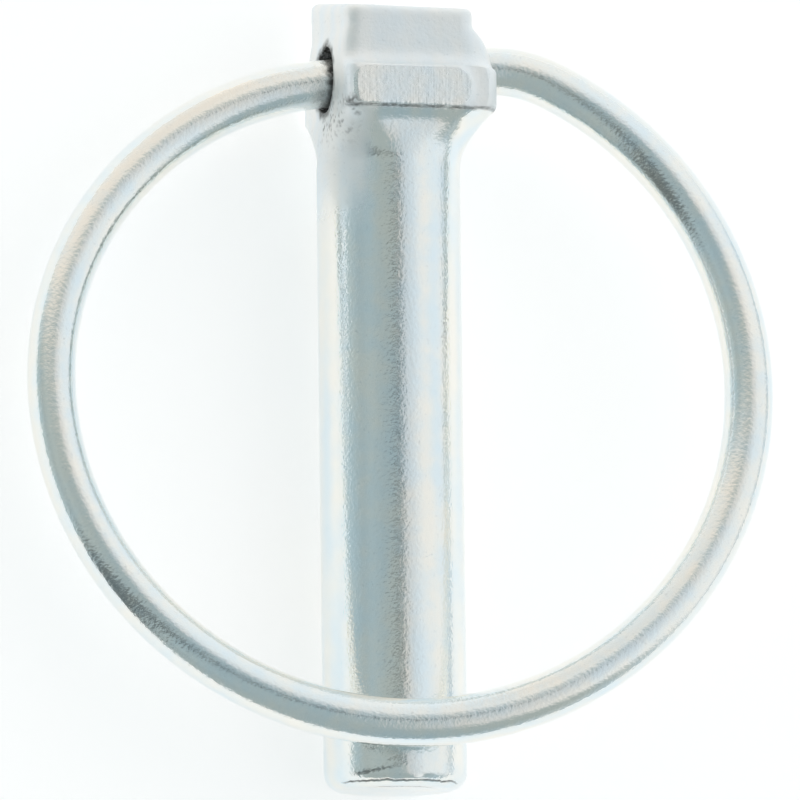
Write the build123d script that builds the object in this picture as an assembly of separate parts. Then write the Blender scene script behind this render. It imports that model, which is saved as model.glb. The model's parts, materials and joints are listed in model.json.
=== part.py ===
from build123d import *
from math import asin, atan2, cos, degrees, radians, sin, sqrt
import os

# Linch pin: one forged pin, head and shank together, and one spring wire ring whose two ends sit in a
# cross hole through the head. Millimetres.
#
# Both pieces are drawn in the pin's own axes: the shank's axis is Z with the head at the top, X runs
# across the head, -Y is the front, where the closed ring crosses the shank, and the origin is where the
# axis that the ring turns about meets the shank's. At the end lay_down() lays them on their back.

# Shank
shank_radius = 5.5
tip_radius = 5.45             # the shank narrows to this between the ring's wire and its rounded end
tip_beyond_ring = 3.7         # from the middle of the ring's wire to the rounded end
end_round_height = 1.15
end_round_bulge = 0.25        # of the rounding, out from a straight bevel
end_radius = 4.3              # flat end of the tip

# The head is turned a little on the shank and stands a little to its back
head_turn = 7.0               # degrees, from the cross hole's direction to the head's own width
head_back_shift = 0.4

# Head block, which stands above the collar
block_left = 4.55
block_right = 5.6
block_half_depth = 5.6
block_corner = 1.1
head_top = 5.7
top_slope_right = 0.6         # degrees, down to the right
top_slope_front = 9.3         # degrees, down to the front
top_edge_radius = 0.6

# Collar round the cross hole, where the forging dies met
collar_left = 4.85
collar_right = 7.35
collar_half_depth = 7.25
collar_left_corner = 1.2
collar_right_corner = 2.4
collar_top = 0.1
collar_bottom = -3.0
collar_bulge = 0.15           # how much the collar's front swells between its edges
front_shear = 0.17            # the flash is sheared off flat this far below the swell
back_shear = 1.25             # and deeper at the back, where the throat's top edge is left proud of it
flare_height = 1.35           # hollow from the block out to the collar, front and back
flare_middle = 0.35           # height of the hollow's middle section, as a share of flare_height
side_flare_height = 3.3       # slope from the block out to the collar, left and right
side_flare_power = 3          # 1 is a straight slope, and more makes it bulge

# Throat, from the collar's lower edge down to the round shank
throat_height = 3.4
throat_ledge = 0.6            # the collar's lower edge overhangs the throat by this at the front
throat_side_angle = 12.0      # degrees, half the arc of the shank that each side of the head runs down to

# The throat's middle section: how far down it lies, and how far each side has drawn in by there, as
# shares of the whole way to the shank
waist_level = 0.4
waist_left = 0.5
waist_right = 0.55
waist_depth = 0.75
waist_left_corner = 0.6       # shares of the shank's radius
waist_right_corner = 0.7
waist_back_shift = 0.3        # share of head_back_shift

# Cross hole
hole_radius = 2.5
hole_skew = 5.2               # degrees, right end nearer the head's top
hole_play = 0.3               # the wire ends lie this far below the hole's axis, towards the tip

# Ring
wire_radius = 1.85
ring_radius = 26.8            # of the wire's centreline
ring_crown = 2.73             # how far the ring's full circle would stand above the cross hole
ring_offset = -1.9            # of the circle's centre, along the cross hole
end_bend_radius = 10.0        # of the right end, where the wire turns into the hole
end_gap = 3.0                 # between the two wire ends, inside the hole
end_gap_centre = 1.0
ring_rest_gap = 0.05          # between the closed ring's wire and the shank

# The closed ring lies across the shank, so its drop below the hole sets its tilt and the shank's length
skew = radians(hole_skew)
ring_drop = 2 * ring_radius - ring_crown
ring_centre_drop = ring_drop - ring_radius
crossing_offset = ring_offset + ring_drop * sin(skew)
crossing_drop = ring_centre_drop + sqrt(ring_radius ** 2 - crossing_offset ** 2)
closed_tilt = asin((shank_radius + wire_radius + ring_rest_gap) / crossing_drop)
wire_level = -crossing_drop * cos(closed_tilt) * cos(skew)
straight_end = wire_level + wire_radius
lead_end = wire_level - tip_beyond_ring
tip_end = lead_end - end_round_height
throat_bottom = collar_bottom - throat_height
front_depth = collar_half_depth - front_shear
back_depth = collar_half_depth - back_shear
throat_depth = front_depth - throat_ledge
resting_depth = max(back_depth, throat_depth)

# Directions of the cross hole and of the closed ring's plane
hole_direction = Vector(cos(skew), 0, sin(skew))
ring_down = Vector(sin(skew) * cos(closed_tilt), -sin(closed_tilt), -cos(skew) * cos(closed_tilt))
ring_plane = Plane(origin=(0, 0, 0), x_dir=hole_direction, z_dir=hole_direction.cross(ring_down))


def outline(level, corners):
    """Closed outline at one level. Each corner arc is x, y, radius, start angle and turn."""
    arcs = [CenterArc((x, y), radius, start, turn) for x, y, radius, start, turn in corners]
    sides = [Line(arcs[k] @ 1, arcs[(k + 1) % 4] @ 0) for k in range(4)]
    return Pos(0, 0, level) * make_face(arcs + sides)


def section(level, left, right, half_depth, left_corner, right_corner, shift=head_back_shift):
    """The head's outline at one level: four sides and four corner arcs."""
    left_x = left_corner - left
    right_x = right - right_corner
    left_y = half_depth - left_corner
    right_y = half_depth - right_corner
    return Pos(0, shift, 0) * outline(level, [
        (right_x, right_y, right_corner, 0, 90),
        (left_x, left_y, left_corner, 90, 90),
        (left_x, -left_y, left_corner, 180, 90),
        (right_x, -right_y, right_corner, 270, 90),
    ])


def shank_section(level):
    """The shank's circle in eight arcs, one for each side and corner of the head's sections."""
    edges = []
    for start in (0, 90, 180, 270):
        corner_start = start + throat_side_angle
        side_start = start + 90 - throat_side_angle
        edges.append(CenterArc((0, 0), shank_radius, corner_start, 90 - 2 * throat_side_angle))
        edges.append(CenterArc((0, 0), shank_radius, side_start, 2 * throat_side_angle))
    return Pos(0, 0, level) * make_face(edges)


def block_section(level):
    """Outline of the head above the collar. It widens towards the collar's own outline."""
    side_share = min(1, max(0, (collar_top + side_flare_height - level) / side_flare_height))
    side_swell = 1 - (1 - side_share) ** side_flare_power
    front_share = min(1, max(0, (collar_top + flare_height - level) / flare_height))
    front_swell = 1 - sqrt(1 - front_share ** 2)
    return section(
        level,
        block_left + (collar_left - block_left) * side_swell,
        block_right + (collar_right - block_right) * side_swell,
        block_half_depth + (collar_half_depth - collar_bulge - block_half_depth) * front_swell,
        block_corner + (collar_left_corner - block_corner) * side_swell,
        block_corner + (collar_right_corner - block_corner) * side_swell,
    )


def collar_section(share):
    """Outline of the collar, from its lower edge (share -1) over its widest level (0) to its top (1)."""
    level = collar_bottom + (collar_top - collar_bottom) * (1 + share) / 2
    half_depth = collar_half_depth - collar_bulge * share ** 2
    return section(level, collar_left, collar_right, half_depth, collar_left_corner, collar_right_corner)


def waist_section():
    """Outline of the throat at its middle section."""
    return section(
        collar_bottom - waist_level * throat_height,
        collar_left + (shank_radius - collar_left) * waist_left,
        collar_right + (shank_radius - collar_right) * waist_right,
        front_depth + (shank_radius - front_depth) * waist_depth,
        waist_left_corner * shank_radius,
        waist_right_corner * shank_radius,
        waist_back_shift * head_back_shift,
    )


def throat():
    under_collar = section(
        collar_bottom, collar_left, collar_right, throat_depth, collar_left_corner, collar_right_corner
    )
    return loft([under_collar, waist_section(), shank_section(throat_bottom)])


def stacked(pieces):
    """One solid from pieces that stand on each other, with the same outline where two of them meet."""
    faces = [piece.faces().sort_by(Axis.Z) for piece in pieces]
    walls = [wall for piece_faces in faces for wall in piece_faces[1:-1]]
    bottom = faces[0][0]
    top = faces[-1][-1]
    return Solid(Shell(walls + [bottom, top]))


def head():
    """Collar, slopes and block, sheared flat front and back and cut off aslant at the top, and the throat."""
    hollow_middle = collar_top + flare_middle * flare_height
    hollow_top = collar_top + flare_height
    slope_top = collar_top + side_flare_height
    slope_middle = (hollow_top + slope_top) / 2
    hollow = loft([block_section(level) for level in (collar_top, hollow_middle, hollow_top)])
    slope = loft([block_section(level) for level in (hollow_top, slope_middle, slope_top)])
    block = extrude(block_section(slope_top), head_top)
    collar = loft([collar_section(share) for share in (-1, 0, 1)])
    reach = 4 * (head_top + throat_height + collar_right)
    sheared_middle = head_back_shift + (back_depth - front_depth) / 2
    between_shears = Pos(0, sheared_middle, 0) * Box(reach, front_depth + back_depth, reach)
    top_tilt = Rot(top_slope_front, top_slope_right, 0)
    above_top = Pos(0, 0, head_top) * top_tilt * Pos(0, 0, reach / 2) * Box(reach, reach, reach)
    forging = stacked([collar, hollow, slope, block])
    solid = (forging & between_shears) + throat() - above_top
    top_face = solid.faces().sort_by(Axis.Z)[-1]
    return Rot(0, 0, head_turn) * fillet(top_face.edges(), top_edge_radius)


def shank():
    side = Polyline(
        (0, throat_bottom),
        (shank_radius, throat_bottom),
        (shank_radius, straight_end),
        (tip_radius, lead_end),
    )
    rounding = SagittaArc((tip_radius, lead_end), (end_radius, tip_end), end_round_bulge)
    end = Polyline((end_radius, tip_end), (0, tip_end), (0, throat_bottom))
    return revolve(Plane.XZ * make_face([side, rounding, end]), Axis.Z)


def forged_pin():
    hole_centre = Vector(-sin(skew), 0, cos(skew)) * hole_play
    hole = Plane(origin=hole_centre, z_dir=hole_direction) * Cylinder(hole_radius, 4 * collar_right)
    return head() + shank() - hole


def spring_ring():
    """Wire bent in one plane: x runs along the cross hole and y towards the pin's tip."""
    shoulder_x = ring_offset - ring_radius + ring_centre_drop
    bend_dx = sqrt((ring_radius - end_bend_radius) ** 2 - (ring_centre_drop - end_bend_radius) ** 2)
    bend_x = ring_offset + bend_dx
    bend_angle = degrees(atan2(end_bend_radius - ring_centre_drop, bend_dx))
    left_end = (end_gap_centre - end_gap / 2, 0)
    right_end = (end_gap_centre + end_gap / 2, 0)
    path = Wire([
        Line(left_end, (shoulder_x, 0)),
        CenterArc((shoulder_x, ring_centre_drop), ring_centre_drop, 270, -90),
        CenterArc((ring_offset, ring_centre_drop), ring_radius, 180, bend_angle - 180),
        CenterArc((bend_x, end_bend_radius), end_bend_radius, bend_angle, -90 - bend_angle),
        Line((bend_x, 0), right_end),
    ])
    start = Plane(origin=path @ 0, z_dir=path % 0)
    return ring_plane * sweep(start * Circle(wire_radius), path=path)


def lay_down(pieces):
    """Turn the pieces on their back: the throat's top edge and the tip touch the floor at Z = 0."""
    back_slope = atan2(head_back_shift + resting_depth - tip_radius, collar_bottom - lead_end)
    turn = Rot(degrees(back_slope) - 90, 0, 0) * Rot(0, 0, -head_turn)
    floor = (Rot(degrees(back_slope) - 90, 0, 0) * Pos(0, tip_radius, lead_end)).position.Z
    box = Compound([turn * piece for piece in pieces]).bounding_box()
    return Pos(-box.center().X, -box.center().Y, -floor) * turn


pin = forged_pin()
ring = spring_ring()
laid = lay_down([pin, ring])
os.makedirs("parts", exist_ok=True)
export_step(laid * pin, "parts/forged_pin.step")
export_step(laid * ring, "parts/spring_ring.step")
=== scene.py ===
import json
from math import asin, atan2, cos, pi, radians, sin, sqrt

import bmesh
import bpy
import numpy as np
from mathutils import Matrix, Vector, noise
from mathutils.bvhtree import BVHTree


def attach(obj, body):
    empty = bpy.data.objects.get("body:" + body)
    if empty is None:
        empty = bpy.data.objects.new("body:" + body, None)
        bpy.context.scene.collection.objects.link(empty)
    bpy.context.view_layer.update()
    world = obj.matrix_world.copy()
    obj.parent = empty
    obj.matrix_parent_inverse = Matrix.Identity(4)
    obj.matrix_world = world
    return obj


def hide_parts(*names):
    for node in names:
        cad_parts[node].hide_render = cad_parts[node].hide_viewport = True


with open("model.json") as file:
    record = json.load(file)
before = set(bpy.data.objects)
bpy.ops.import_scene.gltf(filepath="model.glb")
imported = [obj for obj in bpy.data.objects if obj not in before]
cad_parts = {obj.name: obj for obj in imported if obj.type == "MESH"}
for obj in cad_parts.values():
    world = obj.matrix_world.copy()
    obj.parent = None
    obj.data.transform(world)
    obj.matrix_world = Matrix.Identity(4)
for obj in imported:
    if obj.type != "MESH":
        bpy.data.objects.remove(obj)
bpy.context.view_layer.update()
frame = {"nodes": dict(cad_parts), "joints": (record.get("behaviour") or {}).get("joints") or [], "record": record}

# A zinc-plated linch pin, lying on its back and seen from above. Both pieces are worked out in the pin's
# own axes, in millimetres: Z runs up the shank to the head, X across the head along the cross hole, and
# -Y is the front, where the ring crosses the shank. Their meshes are then placed in the row frame.

# The pin's axes, from the ring's hinge and the shank's mount
MM = 0.001
hinge = frame["joints"][0]
shank_mount = frame["record"]["mounts"][0]
pin_origin = Vector(hinge["pos_m"])
hole_direction = -Vector(hinge["axis"]).normalized()
pin_up = -Vector(shank_mount["axis"]).normalized()
pin_across = (hole_direction - pin_up * hole_direction.dot(pin_up)).normalized()
pin_back = pin_up.cross(pin_across)
pin_to_row = Matrix.Translation(pin_origin) @ Matrix((pin_across, pin_back, pin_up)).transposed().to_4x4()
row_to_pin = pin_to_row.inverted()

# Sizes that the meshes share with the solids, in millimetres
shank_radius = shank_mount["dims"]["r_mm"]
straight_middle = (row_to_pin @ Vector(shank_mount["pos_m"])).z / MM
straight_top = straight_middle + shank_mount["dims"]["length_mm"] / 2
straight_end = straight_middle - shank_mount["dims"]["length_mm"] / 2
tip_radius = 5.45
tip_beyond_ring = 3.7
end_round_height = 1.15
end_radius = 4.3
wire_radius = 1.85
ring_radius = 26.8
ring_crown = 2.73
ring_offset = -1.9
end_bend_radius = 10.0
end_gap = 3.0
end_gap_centre = 1.0
ring_rest_gap = 0.05
hole_radius = 2.5
hole_play = 0.3
collar_top = 0.1
collar_bottom = -3.0
lead_end = straight_end - wire_radius - tip_beyond_ring
tip_end = lead_end - end_round_height

# The closed ring's wire rests on the shank, which sets its tilt
skew = atan2(hole_direction.dot(pin_up), hole_direction.dot(pin_across))
ring_centre_drop = ring_radius - ring_crown
crossing_offset = ring_offset + (2 * ring_radius - ring_crown) * sin(skew)
crossing_drop = ring_centre_drop + sqrt(ring_radius ** 2 - crossing_offset ** 2)
closed_tilt = asin((shank_radius + wire_radius + ring_rest_gap) / crossing_drop)

# The head's own directions, in the pin's axes: the part lies on the head's back
head_across = np.array(row_to_pin.to_3x3() @ Vector((1, 0, 0)))
head_back = np.array((-head_across[1], head_across[0], 0))


def in_row_frame(points):
    """Points in the pin's axes, in millimetres, as points of the row frame in metres."""
    turn = np.array(pin_to_row.to_3x3())
    return (np.asarray(points) * MM) @ turn.T + np.array(pin_origin)


def smooth_step(low, high, value):
    share = np.clip((value - low) / (high - low), 0, 1)
    return share * share * (3 - 2 * share)


def mound(centre, width, value):
    """1 at the centre and falling off to nothing at about twice the width from it."""
    return np.exp(-(((value - centre) / width) ** 2))


def noise_at(points, size, seed=0.0, stretch=(1, 1, 1)):
    """Smooth noise from -1 to 1, with lumps of about this size in millimetres."""
    scaled = np.asarray(points) / size / np.array(stretch)
    return np.array([noise.noise(Vector((x + seed, y - seed, z + 2 * seed))) for x, y, z in scaled])


def add_mask(mesh, name, values):
    layer = mesh.attributes.new(name, "FLOAT", "POINT")
    layer.data.foreach_set("value", np.clip(values, 0, 1).astype(np.float32))


def mesh_of(points, faces, name):
    mesh = bpy.data.meshes.new(name)
    mesh.from_pydata(in_row_frame(points).tolist(), [], faces)
    mesh.polygons.foreach_set("use_smooth", [True] * len(mesh.polygons))
    mesh.update()
    return mesh


# Ring

ring_samples = 1080
wire_sides = 64
wire_wave_height = 0.012     # slow waves along the drawn wire, and fine grain on them
wire_grain_height = 0.004


def ring_path():
    """Points and directions along the wire's centreline, x along the cross hole and y towards the tip."""
    drop = ring_centre_drop
    shoulder_x = ring_offset - ring_radius + drop
    bend_dx = sqrt((ring_radius - end_bend_radius) ** 2 - (drop - end_bend_radius) ** 2)
    bend_x = ring_offset + bend_dx
    bend_angle = atan2(end_bend_radius - drop, bend_dx)
    left_end = end_gap_centre - end_gap / 2
    right_end = end_gap_centre + end_gap / 2
    arcs = [
        (shoulder_x, drop, drop, -pi / 2, -pi),
        (ring_offset, drop, ring_radius, pi, bend_angle),
        (bend_x, end_bend_radius, end_bend_radius, bend_angle, -pi / 2),
    ]
    lengths = [left_end - shoulder_x] + [r * abs(b - a) for _, _, r, a, b in arcs] + [bend_x - right_end]
    total = sum(lengths)
    points, directions = [], []
    for along in np.linspace(0, total, ring_samples):
        k = 0
        while k < 4 and along > lengths[k]:
            along -= lengths[k]
            k += 1
        if k == 0:
            points.append((left_end - along, 0))
            directions.append((-1, 0))
        elif k == 4:
            points.append((bend_x - along, 0))
            directions.append((-1, 0))
        else:
            x, y, radius, start, end = arcs[k - 1]
            sense = 1 if end > start else -1
            angle = start + sense * along / radius
            points.append((x + radius * cos(angle), y + radius * sin(angle)))
            directions.append((-sense * sin(angle), sense * cos(angle)))
    return np.array(points), np.array(directions), total


def make_ring():
    path, directions, total = ring_path()
    across = np.array((cos(skew), 0, sin(skew)))
    down = np.array((sin(skew) * cos(closed_tilt), -sin(closed_tilt), -cos(skew) * cos(closed_tilt)))
    front = -np.cross(across, down)
    centres = path[:, :1] * across + path[:, 1:] * down
    along = directions[:, :1] * across + directions[:, 1:] * down
    outward = np.cross(along, front)
    turns = np.linspace(0, 2 * pi, wire_sides, endpoint=False)
    normals = np.cos(turns)[None, :, None] * front + np.sin(turns)[None, :, None] * outward[:, None, :]
    flat_normals = normals.reshape(-1, 3)
    flat_centres = np.repeat(centres, wire_sides, axis=0)
    skin = flat_centres + wire_radius * flat_normals
    distance = np.repeat(np.linspace(0, total, ring_samples), wire_sides)
    turn = np.tile(turns, ring_samples)
    wrap = np.c_[distance, 3 * np.cos(turn), 3 * np.sin(turn)]
    waves = wire_wave_height * noise_at(wrap, 5.0, 3.1, (1.6, 1, 1))
    grain = wire_grain_height * noise_at(wrap, 0.55, 7.7, (2.2, 1, 1))
    points = skin + (waves + grain - wire_wave_height)[:, None] * flat_normals
    faces = []
    for row in range(ring_samples - 1):
        for side in range(wire_sides):
            here = row * wire_sides + side
            beside = row * wire_sides + (side + 1) % wire_sides
            faces.append((here, beside, beside + wire_sides, here + wire_sides))
    faces.append(tuple(reversed(range(wire_sides))))
    last = (ring_samples - 1) * wire_sides
    faces.append(tuple(range(last, last + wire_sides)))
    mesh = mesh_of(points, faces, "ring_wire")
    from_hole = np.minimum(distance, total - distance)
    mottled = noise_at(points, 0.4, 5.0)
    # Painted shade: the wire is darkened where it lies in the cross hole
    shade_in_hole = smooth_step(4.7, 4.1, from_hole + 0.3 * mottled)
    # Dirt and painted shade: near the head, the wire's downward-facing side is darkened in blotches
    below = smooth_step(0.1, -0.7, flat_normals[:, 2])
    dirt_and_shade_beside_head = 0.6 * smooth_step(6.2, 4.4, distance) * np.clip(below + 0.5 * mottled, 0, 1)
    add_mask(mesh, "grime_and_shade", np.maximum(shade_in_hole, dirt_and_shade_beside_head))
    streaks = noise_at(wrap, 1.6, 4.2, (12, 1, 1))
    add_mask(mesh, "warm", 0.5 + 0.5 * streaks + 0.3 * noise_at(points, 6.0, 1.3))
    add_mask(mesh, "satin", np.zeros(len(points)))
    add_mask(mesh, "ground", np.zeros(len(points)))
    piece = bpy.data.objects.new("ring_wire", mesh)
    bpy.context.scene.collection.objects.link(piece)
    return piece


# Forged pin

voxel = 0.22                 # millimetres, the spacing of the forged pin's mesh
fine_cuts = 2                # more cuts of it where the surface has fine detail

# The flat that is left where the flash was sheared off the collar's front, an oval with round ends
flat_centre = 0.12
flat_level = -1.5
flat_half_length = 4.75
flat_half_height = 1.5
flat_corner = 1.35
flat_shoulder = 0.24         # how far the collar falls away round the flat
shoulder_width = 0.3

# The collar's lower lip is ragged, and the throat sweeps in under it
lip_half_length = 5.6
lip_height = 0.2
lip_raggedness = 0.05
lip_droop = 0.1
sweep_height = 1.5
sweep_depth = 0.32

# The edge across the tip's front is torn in two lines, with a burr on it
tear_level = 0.36            # of the line on the rounding, above the tip's end
tear_width = 0.055
tear_inset = 0.9             # of the line on the end face, from its edge
tear_inset_width = 0.16
tear_depth = 0.05
burr_across = 0.75
burr_half_width = 0.5
burr_level = 0.55
burr_thickness = 0.16
burr_height = 0.16

# Forged skin
unevenness_size = 3.2
unevenness_height = 0.035
grain_size = 0.45
grain_height = 0.005
skin_allowance = 0.008       # the whole skin lies this far in, so that it stays within the solid
throat_blend = 1.6           # how far the throat's run-out reaches along the shank


def values_of(items, attribute, width, kind=float):
    values = np.zeros(len(items) * width, kind)
    items.foreach_get(attribute, values)
    return values.reshape(-1, width)


def evened(points, edges, rounds, steps=(0.6, -0.62)):
    """Small edges worn round and curves made even. A step back in each round keeps the size."""
    degree = np.bincount(edges.ravel(), minlength=len(points))[:, None]
    for step in steps * rounds:
        total = np.zeros_like(points)
        np.add.at(total, edges[:, 0], points[edges[:, 1]])
        np.add.at(total, edges[:, 1], points[edges[:, 0]])
        points = points + step * (total / degree - points)
    return points


def needs_detail(points):
    """The collar's front, the rim of the hole's left end and the tip's front."""
    z = points[:, 2]
    across = points @ head_across
    depth = points @ head_back
    collar_front = (depth < -5.7) & (z > collar_bottom - 0.7) & (z < collar_top + 0.5) & (across < 6.4)
    from_hole = from_hole_axis(points)[0]
    hole_rim = (from_hole < hole_radius + 0.9) & (across < -3.4)
    tip_front = (z < tip_end + 0.9) & (points[:, 1] < -1) & (np.hypot(points[:, 0], points[:, 1]) > 2.4)
    return collar_front | hole_rim | tip_front


def from_hole_axis(points):
    """Distance from the cross hole's axis, and distance along it."""
    centre = np.array((-sin(skew), 0, cos(skew))) * hole_play
    axis = np.array((cos(skew), 0, sin(skew)))
    offset = points - centre
    along = offset @ axis
    return np.linalg.norm(offset - along[:, None] * axis, axis=1), along


def forged_mesh(node):
    """The solid's mesh in the pin's axes and in millimetres, in small even faces, finer where needed."""
    exact = frame["nodes"][node].data.copy()
    exact.transform(Matrix.Scale(1 / MM, 4) @ row_to_pin)
    source = bpy.data.objects.new("forging_source", exact)
    bpy.context.scene.collection.objects.link(source)
    remesh = source.modifiers.new("even", "REMESH")
    remesh.mode = "VOXEL"
    remesh.voxel_size = voxel
    depsgraph = bpy.context.evaluated_depsgraph_get()
    even = bpy.data.meshes.new_from_object(source.evaluated_get(depsgraph))
    bpy.data.objects.remove(source)

    points = evened(values_of(even.vertices, "co", 3), values_of(even.edges, "vertices", 2, int), 4)
    even.vertices.foreach_set("co", points.ravel())
    wanted = needs_detail(points)
    work = bmesh.new()
    work.from_mesh(even)
    chosen = [edge for edge in work.edges if all(wanted[corner.index] for corner in edge.verts)]
    bmesh.ops.subdivide_edges(work, edges=chosen, cuts=fine_cuts, use_grid_fill=True)
    bmesh.ops.triangulate(work, faces=[face for face in work.faces if len(face.verts) > 4])
    work.to_mesh(even)
    work.free()

    # The throat runs out into the shank without an edge
    points = values_of(even.vertices, "co", 3)
    edges = values_of(even.edges, "vertices", 2, int)
    blend = mound(straight_top, throat_blend, points[:, 2])[:, None]
    points = points + blend * (evened(points, edges, 60, (0.6,)) - points)
    even.vertices.foreach_set("co", points.ravel())

    # The fine faces go back onto the exact surface, so that its edges are crisp there
    points = values_of(even.vertices, "co", 3)
    surface = BVHTree.FromPolygons(
        [vertex.co for vertex in exact.vertices],
        [tuple(face.vertices) for face in exact.polygons],
    )
    for k in np.flatnonzero(needs_detail(points)):
        points[k] = surface.find_nearest(Vector(points[k]))[0]
    points = evened(points, edges, 1)
    even.vertices.foreach_set("co", points.ravel())
    bpy.data.meshes.remove(exact)
    return even


def outside_flat(across, level):
    """Distance out from the flat's edge in millimetres, and below zero inside it."""
    reach_x = np.abs(across - flat_centre) - (flat_half_length - flat_corner)
    reach_z = np.abs(level - flat_level) - (flat_half_height - flat_corner)
    out = np.hypot(np.maximum(reach_x, 0), np.maximum(reach_z, 0))
    return out + np.minimum(np.maximum(reach_x, reach_z), 0) - flat_corner


def sheared(points):
    """The oval flat on the collar's front, with the collar falling away round it and a ragged lower lip."""
    z = points[:, 2]
    across = points @ head_across
    depth = points @ head_back
    front = depth.min()
    past = outside_flat(across, z)
    fall = flat_shoulder * (1 - np.exp(-np.maximum(past, 0) / shoulder_width))
    on_front = (depth < front + 1) & (z > collar_bottom - 0.15) & (z < collar_top + 0.7)
    wanted = np.where(on_front & (past > 0), np.maximum(depth, front + fall), depth)

    along_lip = np.c_[across, np.zeros((len(z), 2))]
    coarse = noise_at(along_lip, 0.55, 3.3)
    fine = noise_at(along_lip, 0.16, 8.8)
    from_middle = np.abs(across - flat_centre)
    on_lip = mound(collar_bottom, lip_height, z) * smooth_step(front + 0.5, front + 0.3, depth)
    on_lip *= smooth_step(lip_half_length, 4.8, from_middle)
    wanted -= on_lip * lip_raggedness * (coarse + fine)

    # Under the lip the throat sweeps in, steep at first
    sweep = smooth_step(collar_bottom - sweep_height, collar_bottom, z) ** 1.5 * (z < collar_bottom + 0.02)
    sweep *= smooth_step(-4.6, -5.4, depth) * smooth_step(lip_half_length, 4.4, from_middle)
    wanted -= sweep_depth * sweep * (1 - on_lip)
    moved = points + (wanted - depth)[:, None] * head_back
    moved[:, 2] -= on_lip * (lip_droop * np.maximum(coarse + 0.4 * fine, -0.3) + 0.02)
    return moved


def rounded_shank(points):
    """The shank truly round, from the throat to the rounded end."""
    x, y, z = points.T
    radius = np.hypot(x, y)
    true_radius = np.interp(z, [lead_end, straight_end], [tip_radius, shank_radius])
    on_wall = (z < straight_top) & (z > lead_end) & (radius > 0.9 * tip_radius)
    share = smooth_step(straight_top, straight_top - 0.8, z) * smooth_step(lead_end, lead_end + 0.3, z)
    pull = np.where(on_wall, share * (true_radius / np.maximum(radius, 0.1) - 1), 0)
    return points + np.c_[pull * x, pull * y, np.zeros(len(z))]


def tip_tear(points):
    """How deep each point lies in the torn edge across the tip's front, from 0 to 1, and the burr on it."""
    x, y, z = points.T
    radius = np.hypot(x, y)
    in_front = smooth_step(-0.35, -0.6, y / tip_radius)
    line = noise_at(np.c_[x, np.zeros((len(z), 2))], 0.8, 5.5)
    fine = noise_at(np.c_[x, np.zeros((len(z), 2))], 0.2, 1.5)
    upper_line = tip_end + tear_level + 0.1 * line + 0.04 * fine
    lower_line = end_radius - tear_inset + 0.35 * line + 0.15 * fine
    upper = mound(upper_line, tear_width, z) * (z < lead_end)
    lower = mound(lower_line, tear_inset_width, radius) * (z < tip_end + 0.15)
    burr = mound(burr_across, burr_half_width, x) * mound(tip_end + burr_level, burr_thickness, z)
    return in_front * np.maximum(upper, 0.8 * lower), in_front * burr


def pin_grime_and_shade(points, tear):
    """Where the pin is darkened: painted shade in the hole and under the lip, dirty specks round the hole's left
    end and on the left side, soiling with painted shadow in the collar's left corner, and dark lines in the torn
    edge and along the collar's lower edge on the right.
    """
    across = points @ head_across
    depth = points @ head_back
    z = points[:, 2]
    from_axis, along_hole = from_hole_axis(points)
    blotches = noise_at(points, 0.7, 9.1)
    specks = noise_at(points, 0.28, 2.7)
    # Painted shade: the bore of the cross hole is darkened
    inside = smooth_step(hole_radius + 0.2, hole_radius, from_axis)
    rim = smooth_step(hole_radius + 0.8, hole_radius, from_axis + 0.3 * blotches) * (along_hole < -3)
    # Painted shade: a ragged dark line along the underside of the collar's lower lip
    shade_under_lip = mound(collar_bottom - 0.08 + 0.05 * specks, 0.1, z) * smooth_step(-5.4, -5.9, depth)
    shade_under_lip *= smooth_step(5.4, 4.9, np.abs(across - flat_centre)) * smooth_step(-1.1, 0.1, blotches)
    left_dirt = smooth_step(-3.2, -4.4, across) * mound(collar_bottom - 0.6, 1.6, z) * (depth < 1)
    left_dirt *= smooth_step(0.2, 0.45, specks + 0.3 * blotches)
    # Dirt and painted shadow in the collar's lower left corner
    corner_dirt_and_shadow = mound(collar_bottom + 0.25, 0.3, z) * smooth_step(-3.9, -4.4, across)
    corner_dirt_and_shadow *= smooth_step(-4, -5, depth) * smooth_step(-0.3, 0.2, specks)
    parting = mound(collar_bottom, 0.07, z) * smooth_step(4.8, 5.2, across)
    return np.maximum.reduce([
        inside,
        0.8 * rim,
        0.8 * shade_under_lip,
        0.6 * left_dirt,
        0.8 * corner_dirt_and_shadow,
        0.6 * parting,
        tear,
    ])


def make_pin():
    even = forged_mesh("forged_pin")
    points = rounded_shank(sheared(values_of(even.vertices, "co", 3)))
    even.vertices.foreach_set("co", points.ravel())
    even.update()
    normals = values_of(even.vertices, "normal", 3)
    faces = [tuple(face.vertices) for face in even.polygons]
    bpy.data.meshes.remove(even)

    across = points @ head_across
    depth = points @ head_back
    z = points[:, 2]
    on_head = smooth_step(straight_top, straight_top + 2, z)
    left_throat = smooth_step(-2.2, -3.6, across) * smooth_step(straight_top - 7, straight_top - 0.5, z)
    on_forging = np.maximum(smooth_step(collar_bottom - 0.2, collar_bottom + 0.1, z), left_throat)
    on_flat = smooth_step(0.05, -0.1, outside_flat(across, z)) * (depth < depth.min() + 0.25)
    tear, burr = tip_tear(points)
    unevenness = unevenness_height * noise_at(points, unevenness_size, 2.2) * on_head * (1 - on_flat)
    grain = grain_height * noise_at(points, grain_size, 4.4) * (0.4 + on_head)
    heave = unevenness + grain - tear_depth * tear + burr_height * burr - skin_allowance
    mesh = mesh_of(points + heave[:, None] * normals, faces, "pin_forging")
    add_mask(mesh, "grime_and_shade", pin_grime_and_shade(points, tear))
    streaks = noise_at(points, 1.3, 6.3, (1, 1, 14))
    add_mask(mesh, "warm", 0.5 + 0.6 * streaks + 0.25 * noise_at(points, 5.0, 1.1))
    add_mask(mesh, "satin", on_forging * (1 - 0.7 * on_flat))
    add_mask(mesh, "ground", on_flat)
    piece = bpy.data.objects.new("pin_forging", mesh)
    bpy.context.scene.collection.objects.link(piece)
    return piece


# Finish

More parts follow.
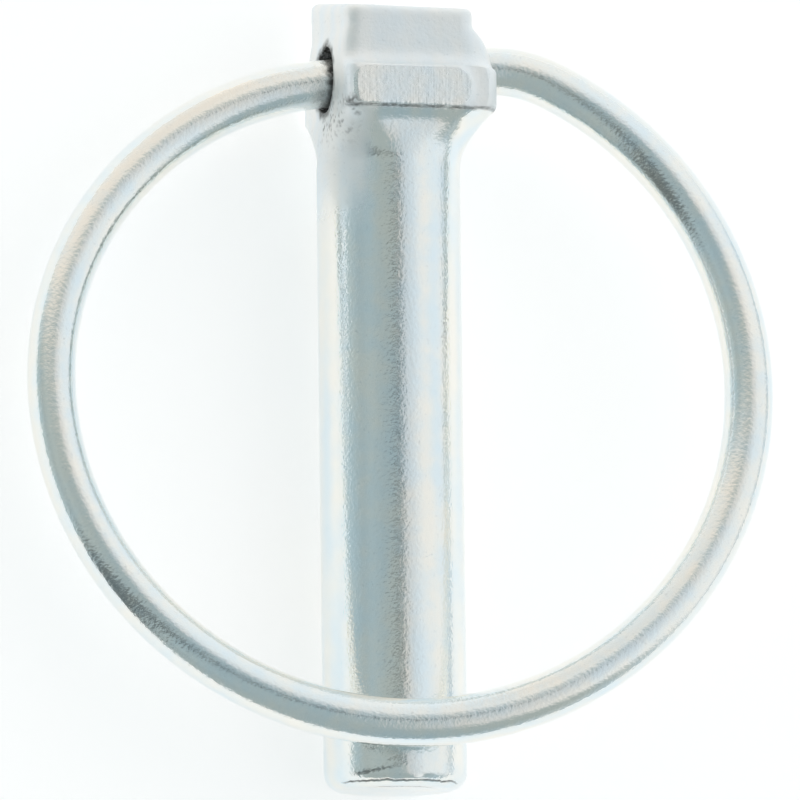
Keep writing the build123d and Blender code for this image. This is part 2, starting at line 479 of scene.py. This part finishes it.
blue_plate = (0.77, 0.865, 0.91)
straw_plate = (0.93, 0.905, 0.84)
satin_plate = (0.97, 0.985, 1.0)
dull_speck = (0.56, 0.60, 0.62)
# Near-black colour of the dark mask: dirt, and painted shade in recesses and on undersides
dirt_and_shade_colour = (0.06, 0.055, 0.05)

# Sizes in the plate's look, in millimetres
cloud_size = 1.6
speck_size = 0.3
gloss_patch_size = 0.9
shear_line_size = 0.16
shear_line_height = 0.012


def node_of(tree, kind, **values):
    node = tree.nodes.new(kind)
    for name, value in values.items():
        setattr(node, name, value)
    return node


def calculate(tree, operation, first, second=0.0, third=0.0):
    node = node_of(tree, "ShaderNodeMath", operation=operation)
    for socket, value in zip(node.inputs, (first, second, third)):
        if isinstance(value, (int, float)):
            socket.default_value = value
        else:
            tree.links.new(value, socket)
    return node.outputs[0]


def ramp_between(tree, value, low, high, from_value=0.0, to_value=1.0):
    """Goes smoothly from one value to the other as the input goes from low to high."""
    node = node_of(tree, "ShaderNodeMapRange", interpolation_type="SMOOTHSTEP")
    tree.links.new(value, node.inputs["Value"])
    node.inputs["From Min"].default_value = low
    node.inputs["From Max"].default_value = high
    node.inputs["To Min"].default_value = from_value
    node.inputs["To Max"].default_value = to_value
    return node.outputs["Result"]


def mix_colours(tree, share, first, second):
    node = node_of(tree, "ShaderNodeMix", data_type="RGBA")
    for name, value in (("Factor", share), ("A", first), ("B", second)):
        socket = node.inputs[name]
        if isinstance(value, (int, float)):
            socket.default_value = value
        elif isinstance(value, tuple):
            socket.default_value = (*value, 1)
        else:
            tree.links.new(value, socket)
    return node.outputs["Result"]


def mottle(tree, place, size_mm, detail=2.0, roughness=0.5):
    node = node_of(tree, "ShaderNodeTexNoise")
    tree.links.new(place, node.inputs["Vector"])
    node.inputs["Scale"].default_value = 1 / (size_mm * MM)
    node.inputs["Detail"].default_value = detail
    node.inputs["Roughness"].default_value = roughness
    return node.outputs["Fac"]


def zinc(name, roughness, peel_size, peel_height):
    """Bright zinc plate with faint blue and straw streaks, a fine peel, and near-black soiling and painted shade
    where the mask says.
    """
    material = bpy.data.materials.new(name)
    material.use_nodes = True
    tree = material.node_tree
    shader = tree.nodes["Principled BSDF"]
    place = node_of(tree, "ShaderNodeTexCoord").outputs["Object"]
    masks = {}
    for mask in ("grime_and_shade", "warm", "satin", "ground"):
        masks[mask] = node_of(tree, "ShaderNodeAttribute", attribute_name=mask).outputs["Fac"]

    cloud = mottle(tree, place, cloud_size, 3.0)
    tint = calculate(tree, "MULTIPLY_ADD", cloud, 0.5, calculate(tree, "MULTIPLY", masks["warm"], 0.5))
    plate = mix_colours(tree, ramp_between(tree, tint, 0.25, 0.75), blue_plate, straw_plate)
    plate = mix_colours(tree, calculate(tree, "MULTIPLY", masks["satin"], 0.6), plate, satin_plate)
    speck = ramp_between(tree, mottle(tree, place, speck_size, 3.0, 0.6), 0.6, 0.75, 0.0, 0.3)
    plate = mix_colours(tree, speck, plate, dull_speck)
    patch = ramp_between(tree, mottle(tree, place, speck_size, 4.0, 0.65), 0.25, 0.6, 0.45, 1.0)
    # The dark mask in speckled patches: dirt and painted shade together
    dirt_and_shade = calculate(tree, "MULTIPLY", masks["grime_and_shade"], patch)
    tree.links.new(mix_colours(tree, dirt_and_shade, plate, dirt_and_shade_colour), shader.inputs["Base Color"])
    bare = calculate(tree, "MULTIPLY_ADD", masks["satin"], -0.3, 1.0)
    bare = calculate(tree, "MULTIPLY", bare, calculate(tree, "MULTIPLY_ADD", dirt_and_shade, -0.8, 1.0))
    tree.links.new(bare, shader.inputs["Metallic"])

    gloss_patch = mottle(tree, place, gloss_patch_size, 4.0, 0.6)
    uneven = ramp_between(tree, gloss_patch, 0.3, 0.7, roughness - 0.03, roughness + 0.05)
    satin = calculate(tree, "MULTIPLY_ADD", masks["satin"], 0.38, uneven)
    rough = calculate(tree, "MULTIPLY_ADD", dirt_and_shade, 0.35, satin)
    tree.links.new(rough, shader.inputs["Roughness"])

    # Fine lines of the shear run along the pin on the collar's flat
    stretch = node_of(tree, "ShaderNodeMapping")
    tree.links.new(place, stretch.inputs["Vector"])
    stretch.inputs["Scale"].default_value = (1, 0.04, 0.2)
    fine_lines = mottle(tree, stretch.outputs["Vector"], shear_line_size, 2.0)
    lines = calculate(tree, "MULTIPLY", fine_lines, masks["ground"])
    shear_lines = node_of(tree, "ShaderNodeBump")
    shear_lines.inputs["Distance"].default_value = shear_line_height * MM
    tree.links.new(lines, shear_lines.inputs["Height"])
    peel = node_of(tree, "ShaderNodeBump")
    peel.inputs["Distance"].default_value = peel_height * MM
    tree.links.new(mottle(tree, place, peel_size, 2.0, 0.5), peel.inputs["Height"])
    tree.links.new(shear_lines.outputs["Normal"], peel.inputs["Normal"])
    tree.links.new(peel.outputs["Normal"], shader.inputs["Normal"])
    return material


# Floor

floor_half = 0.6             # metres
floor_colour = (0.95, 0.93, 0.925)
floor_glow = 0.42            # keeps the floor as bright as the photograph's white ground


def pale_floor():
    material = bpy.data.materials.new("pale_floor")
    material.use_nodes = True
    shader = material.node_tree.nodes["Principled BSDF"]
    shader.inputs["Base Color"].default_value = (*floor_colour, 1)
    shader.inputs["Roughness"].default_value = 0.9
    shader.inputs["Specular IOR Level"].default_value = 0.1
    shader.inputs["Emission Color"].default_value = (1, 1, 1, 1)
    shader.inputs["Emission Strength"].default_value = floor_glow
    corners = [(x * floor_half, y * floor_half, 0) for x, y in ((-1, -1), (1, -1), (1, 1), (-1, 1))]
    mesh = bpy.data.meshes.new("floor")
    mesh.from_pydata(corners, [], [(0, 1, 2, 3)])
    mesh.materials.append(material)
    floor = bpy.data.objects.new("floor", mesh)
    bpy.context.scene.collection.objects.link(floor)


# Photograph's viewpoint, in the pin's axes

view_azimuth = radians(9.0)
view_elevation = radians(7.8)
view_roll = 0.01216
view_distance = 900.0        # millimetres
pixels_per_mm = 13.09
aim = Vector((0.5, 0, -24.0))
aim_pixel = (397.15, 389.4)
image_size = 800
sensor_width = 36


def view_axes():
    """Right, up and towards the camera, in the pin's axes."""
    towards = Vector((
        -sin(view_azimuth) * cos(view_elevation),
        -cos(view_azimuth) * cos(view_elevation),
        -sin(view_elevation),
    ))
    right = Vector((cos(view_azimuth), -sin(view_azimuth), 0))
    up = towards.cross(right)
    return right, up, towards


def make_camera():
    right, up, towards = view_axes()
    turned_right = (right - view_roll * up).normalized()
    turned_up = towards.cross(turned_right)
    rotation = Matrix((turned_right, turned_up, towards)).transposed()
    camera = bpy.data.cameras.new("camera")
    camera.sensor_width = sensor_width
    camera.lens = pixels_per_mm * view_distance * sensor_width / image_size
    camera.shift_x = (image_size / 2 - aim_pixel[0]) / image_size
    camera.shift_y = (aim_pixel[1] - image_size / 2) / image_size
    camera.clip_start = 0.01
    camera.clip_end = 10
    eye = aim + view_distance * towards
    holder = bpy.data.objects.new("camera", camera)
    row_turn = pin_to_row.to_3x3()
    place = Matrix.Translation(pin_origin + row_turn @ eye * MM)
    holder.matrix_world = place @ (row_turn @ rotation).to_4x4()
    bpy.context.scene.collection.objects.link(holder)
    bpy.context.scene.camera = holder


# Light, fixed to the pin's axes

cream = (1.0, 0.97, 0.92)
white = (0.96, 0.99, 1.0)
sky = (0.84, 0.97, 1.03)
teal = (0.83, 0.98, 1.0)

# Light from each side, as brightness and colour by degrees to the right of the photograph's viewpoint
level_light = [
    (-180, 1.0, cream), (-135, 0.9, white), (-100, 0.84, white), (-86, 0.72, teal), (-68, 0.58, teal),
    (-50, 0.48, teal), (-34, 0.53, teal), (-14, 0.48, teal), (12, 0.47, teal), (24, 0.68, white),
    (50, 0.9, white), (88, 0.95, white), (97, 0.88, white), (102, 0.62, sky), (107, 0.8, sky),
    (118, 0.84, sky), (150, 0.9, sky), (180, 1.0, cream),
]
light_above = [(-180, 1.0, cream), (-60, 0.9, cream), (0, 0.84, cream), (50, 0.95, white), (180, 1.0, white)]
light_below = [
    (-180, 0.9, cream), (-100, 0.6, teal), (-50, 0.46, teal),
    (60, 0.46, teal), (120, 0.75, sky), (180, 0.95, white),
]

# Where the light from below and from above takes over, as the heights where it starts and is full
below_from, below_full = radians(-18), radians(-38)
above_from, above_full = radians(26), radians(48)

# One dark band rises from the lower left to just right of the viewpoint, and narrows on its way
band_slope = 0.49
band_height = radians(7.8)
band_left, band_right = radians(-60), radians(5)
band_left_width, band_right_width = radians(17), radians(3.5)
band_left_fade = radians(-110), radians(-80)
band_right_fade = radians(26), radians(18)
band_darkness = 0.66


def light_round(tree, azimuth, stops):
    """A colour ramp all the way round, from its stops."""
    node = node_of(tree, "ShaderNodeValToRGB")
    share = calculate(tree, "MULTIPLY_ADD", azimuth, 0.5 / pi, 0.5)
    tree.links.new(share, node.inputs["Fac"])
    ramp = node.color_ramp
    ramp.elements.remove(ramp.elements[1])
    for k, (angle, brightness, tint) in enumerate(stops):
        stop = ramp.elements.new(angle / 360 + 0.5) if k else ramp.elements[0]
        stop.color = (*(brightness * part for part in tint), 1)
    return node.outputs["Color"]


def make_studio():
    """Soft light from all round: bright on the right and above, grey on the left and below."""
    world = bpy.data.worlds.new("studio")
    world.use_nodes = True
    tree = world.node_tree
    tree.nodes.clear()
    direction = node_of(tree, "ShaderNodeTexCoord").outputs["Generated"]
    row_turn = pin_to_row.to_3x3()
    parts = []
    for axis in view_axes():
        dot = node_of(tree, "ShaderNodeVectorMath", operation="DOT_PRODUCT")
        tree.links.new(direction, dot.inputs[0])
        dot.inputs[1].default_value = row_turn @ axis
        parts.append(dot.outputs["Value"])
    right, up, towards = parts
    azimuth = calculate(tree, "ARCTAN2", right, towards)
    height = calculate(tree, "ARCSINE", up)

    is_low = ramp_between(tree, height, below_from, below_full)
    is_high = ramp_between(tree, height, above_from, above_full)
    light = mix_colours(
        tree, is_low, light_round(tree, azimuth, level_light), light_round(tree, azimuth, light_below)
    )
    light = mix_colours(tree, is_high, light, light_round(tree, azimuth, light_above))

    band_line = calculate(tree, "MULTIPLY_ADD", azimuth, -band_slope, height)
    off_band = calculate(tree, "ABSOLUTE", calculate(tree, "SUBTRACT", band_line, band_height))
    band_width = ramp_between(tree, azimuth, band_left, band_right, band_left_width, band_right_width)
    band = ramp_between(tree, calculate(tree, "DIVIDE", off_band, band_width), 0.25, 1.0, 1.0, 0.0)
    band = calculate(tree, "MULTIPLY", band, ramp_between(tree, azimuth, *band_left_fade))
    band = calculate(tree, "MULTIPLY", band, ramp_between(tree, azimuth, *band_right_fade))
    kept = calculate(tree, "MULTIPLY_ADD", band, -band_darkness, 1.0)

    background = node_of(tree, "ShaderNodeBackground")
    tree.links.new(light, background.inputs["Color"])
    tree.links.new(kept, background.inputs["Strength"])
    plain = node_of(tree, "ShaderNodeBackground")
    plain.inputs["Color"].default_value = (1, 1, 1, 1)
    seen = node_of(tree, "ShaderNodeLightPath").outputs["Is Camera Ray"]
    both = node_of(tree, "ShaderNodeMixShader")
    tree.links.new(seen, both.inputs["Fac"])
    tree.links.new(background.outputs[0], both.inputs[1])
    tree.links.new(plain.outputs[0], both.inputs[2])
    tree.links.new(both.outputs[0], node_of(tree, "ShaderNodeOutputWorld").inputs["Surface"])
    bpy.context.scene.world = world


make_camera()
make_studio()
pale_floor()

ring = make_ring()
ring.data.materials.append(zinc("plated_wire", 0.14, 0.26, 0.022))
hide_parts("spring_ring")
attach(ring, "ring")

forging = make_pin()
forging.data.materials.append(zinc("plated_forging", 0.13, 0.27, 0.026))
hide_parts("forged_pin")
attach(forging, "pin")

bpy.context.scene.view_settings.view_transform = "Standard"
